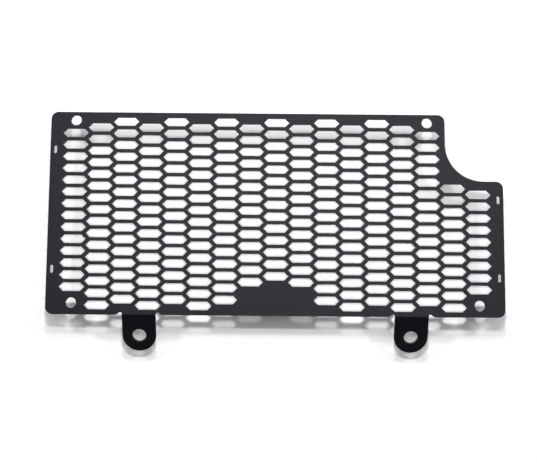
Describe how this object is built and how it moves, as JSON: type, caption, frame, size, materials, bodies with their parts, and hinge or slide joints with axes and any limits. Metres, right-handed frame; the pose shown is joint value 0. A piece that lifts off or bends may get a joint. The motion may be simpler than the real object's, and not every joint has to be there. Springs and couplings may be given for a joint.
{
  "type": "oil cooler guard",
  "caption": "Flat folded-sheet guard with a grille of long hexagonal holes, a round-cornered cut-out and two drilled tabs bent to the rear.",
  "frame": {"origin": "midway between the two tab holes, on the rear faces of the tabs, where the guard is bolted on", "axes": "+X to the right and +Y up the plate as seen from the front, +Z out of the plate's front face; the plate is parallel to XY and the tabs fall towards -Z"},
  "size_m": [0.279, 0.1466, 0.0121],
  "materials": {
    "powder_coat": "satin black powder coat"
  },
  "bodies": {
    "root": {"guard": "powder_coat"}
  },
  "joints": []
}
